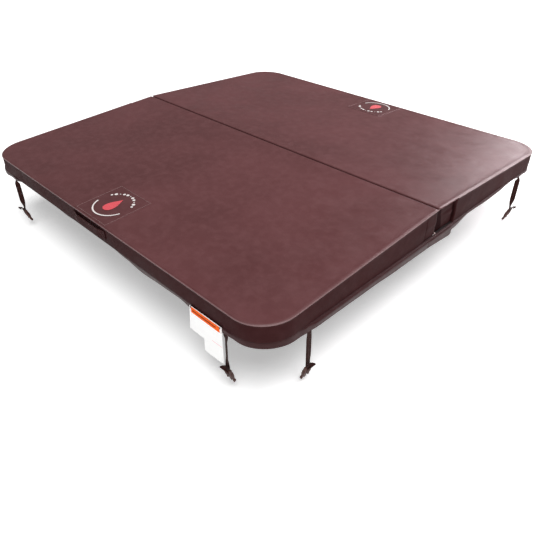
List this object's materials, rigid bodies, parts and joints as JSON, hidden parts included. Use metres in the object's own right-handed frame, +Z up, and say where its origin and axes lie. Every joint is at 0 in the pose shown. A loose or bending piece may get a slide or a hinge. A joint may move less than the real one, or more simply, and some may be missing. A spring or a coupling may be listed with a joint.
{
  "type": "folding spa cover",
  "caption": "Square folding insulated cover for a spa: tapered foam halves in vinyl, hinged across the middle, with a hanging skirt, grip handles, zips and hold-down straps with clips.",
  "frame": {"origin": "in the seat plane, the underside that rests on the spa's lip, under the middle of the fold", "axes": "+X along the fold to the right, +Y towards the rear half, +Z up; the front half lies at -Y"},
  "size_m": [2.1944, 2.1944, 0.4097],
  "materials": {
    "vinyl": "satin",
    "vinyl_side": "satin",
    "vinyl_trim": "satin",
    "liner": "matte",
    "foam": "matte",
    "wrap_film": "gloss",
    "channel_steel": "satin",
    "zip_fabric": "matte",
    "zip_metal": "polished",
    "brass": "satin",
    "patch": "matte",
    "webbing": "matte",
    "clip_plastic": "gloss",
    "seal": "matte",
    "clear_plastic": "gloss",
    "tag": "matte"
  },
  "bodies": {
    "rear_half": {"rear_foam_core": "foam", "rear_hinge_channel": "channel_steel", "rear_vapour_wrap": "wrap_film", "rear_top_panel": "vinyl", "rear_side_band": "vinyl_side", "rear_bottom_liner": "liner", "rear_fold_face": "liner", "rear_rim_welt": "vinyl_trim", "rear_skirt_end": "vinyl_side", "rear_skirt_left": "vinyl_side", "rear_skirt_right": "vinyl_side", "rear_skirt_corners": "vinyl_side", "rear_end_gussets": "vinyl_side", "rear_zip_tape": "zip_fabric", "rear_drain_grommets": "brass", "rear_patch": "patch", "rear_handle": "vinyl_side", "rear_strap_anchors": "webbing", "hinge_web": "vinyl_trim", "hinge_seal": "seal"},
    "front_half": {"front_foam_core": "foam", "front_hinge_channel": "channel_steel", "front_vapour_wrap": "wrap_film", "front_top_panel": "vinyl", "front_side_band": "vinyl_side", "front_bottom_liner": "liner", "front_fold_face": "liner", "front_rim_welt": "vinyl_trim", "front_skirt_end": "vinyl_side", "front_skirt_left": "vinyl_side", "front_skirt_right": "vinyl_side", "front_skirt_corners": "vinyl_side", "front_end_gussets": "vinyl_side", "front_zip_tape": "zip_fabric", "front_drain_grommets": "brass", "front_patch": "patch", "front_handle": "vinyl_side", "front_strap_anchors": "webbing", "overlap_tabs": "vinyl_side", "tag_ties": "clear_plastic"},
    "front_zip_slider": {"front_zip_slider": "zip_metal"},
    "rear_zip_slider": {"rear_zip_slider": "zip_metal"},
    "label_tag": {"label_tag": "tag"},
    "strap_front_left": {"strap_front_left": "webbing"},
    "clip_front_left": {"clip_front_left": "clip_plastic"},
    "strap_front_right": {"strap_front_right": "webbing"},
    "clip_front_right": {"clip_front_right": "clip_plastic"},
    "strap_right_front": {"strap_right_front": "webbing"},
    "clip_right_front": {"clip_right_front": "clip_plastic"},
    "strap_right_rear": {"strap_right_rear": "webbing"},
    "clip_right_rear": {"clip_right_rear": "clip_plastic"},
    "strap_rear_right": {"strap_rear_right": "webbing"},
    "clip_rear_right": {"clip_rear_right": "clip_plastic"},
    "strap_rear_left": {"strap_rear_left": "webbing"},
    "clip_rear_left": {"clip_rear_left": "clip_plastic"},
    "strap_left_rear": {"strap_left_rear": "webbing"},
    "clip_left_rear": {"clip_left_rear": "clip_plastic"},
    "strap_left_front": {"strap_left_front": "webbing"},
    "clip_left_front": {"clip_left_front": "clip_plastic"}
  },
  "joints": [
    {"name": "cover_fold", "type": "hinge", "parent": "rear_half", "child": "front_half", "pos_m": [0, 0, 0.132], "axis": [-1, 0, 0], "range_deg": [0, 180]},
    {"name": "front_zip_slide", "type": "slide", "parent": "front_half", "child": "front_zip_slider", "axis": [-1, 0, 0], "range_m": [0, 2]},
    {"name": "rear_zip_slide", "type": "slide", "parent": "rear_half", "child": "rear_zip_slider", "axis": [1, 0, 0], "range_m": [0, 2]},
    {"name": "label_tag_swing", "type": "hinge", "parent": "front_half", "child": "label_tag", "pos_m": [0.767, -1.0732, 0], "axis": [-1, 0, 0], "range_deg": [0, 100]},
    {"name": "strap_front_left_swing", "type": "hinge", "parent": "front_half", "child": "strap_front_left", "pos_m": [-0.825, -1.06925, -0.036], "axis": [-1, 0, 0], "range_deg": [-15, 120]},
    {"name": "clip_front_left_tilt", "type": "hinge", "parent": "strap_front_left", "child": "clip_front_left", "pos_m": [-0.825, -1.0726, -0.196], "axis": [-1, 0, 0], "range_deg": [-60, 100]},
    {"name": "strap_front_right_swing", "type": "hinge", "parent": "front_half", "child": "strap_front_right", "pos_m": [0.875, -1.06925, -0.036], "axis": [-1, 0, 0], "range_deg": [-15, 120]},
    {"name": "clip_front_right_tilt", "type": "hinge", "parent": "strap_front_right", "child": "clip_front_right", "pos_m": [0.875, -1.0726, -0.196], "axis": [-1, 0, 0], "range_deg": [-60, 100]},
    {"name": "strap_right_front_swing", "type": "hinge", "parent": "front_half", "child": "strap_right_front", "pos_m": [1.06925, -0.838, -0.049], "axis": [0, -1, 0], "range_deg": [-15, 120]},
    {"name": "clip_right_front_tilt", "type": "hinge", "parent": "strap_right_front", "child": "clip_right_front", "pos_m": [1.0726, -0.838, -0.209], "axis": [0, -1, 0], "range_deg": [-60, 100]},
    {"name": "strap_right_rear_swing", "type": "hinge", "parent": "rear_half", "child": "strap_right_rear", "pos_m": [1.06925, 0.838, -0.049], "axis": [0, -1, 0], "range_deg": [-15, 120]},
    {"name": "clip_right_rear_tilt", "type": "hinge", "parent": "strap_right_rear", "child": "clip_right_rear", "pos_m": [1.0726, 0.838, -0.209], "axis": [0, -1, 0], "range_deg": [-60, 100]},
    {"name": "strap_rear_right_swing", "type": "hinge", "parent": "rear_half", "child": "strap_rear_right", "pos_m": [0.825, 1.06925, -0.036], "axis": [1, 0, 0], "range_deg": [-15, 120]},
    {"name": "clip_rear_right_tilt", "type": "hinge", "parent": "strap_rear_right", "child": "clip_rear_right", "pos_m": [0.825, 1.0726, -0.196], "axis": [1, 0, 0], "range_deg": [-60, 100]},
    {"name": "strap_rear_left_swing", "type": "hinge", "parent": "rear_half", "child": "strap_rear_left", "pos_m": [-0.875, 1.06925, -0.036], "axis": [1, 0, 0], "range_deg": [-15, 120]},
    {"name": "clip_rear_left_tilt", "type": "hinge", "parent": "strap_rear_left", "child": "clip_rear_left", "pos_m": [-0.875, 1.0726, -0.196], "axis": [1, 0, 0], "range_deg": [-60, 100]},
    {"name": "strap_left_rear_swing", "type": "hinge", "parent": "rear_half", "child": "strap_left_rear", "pos_m": [-1.06925, 0.838, -0.049], "axis": [0, 1, 0], "range_deg": [-15, 120]},
    {"name": "clip_left_rear_tilt", "type": "hinge", "parent": "strap_left_rear", "child": "clip_left_rear", "pos_m": [-1.0726, 0.838, -0.209], "axis": [0, 1, 0], "range_deg": [-60, 100]},
    {"name": "strap_left_front_swing", "type": "hinge", "parent": "front_half", "child": "strap_left_front", "pos_m": [-1.06925, -0.838, -0.049], "axis": [0, 1, 0], "range_deg": [-15, 120]},
    {"name": "clip_left_front_tilt", "type": "hinge", "parent": "strap_left_front", "child": "clip_left_front", "pos_m": [-1.0726, -0.838, -0.209], "axis": [0, 1, 0], "range_deg": [-60, 100]}
  ]
}
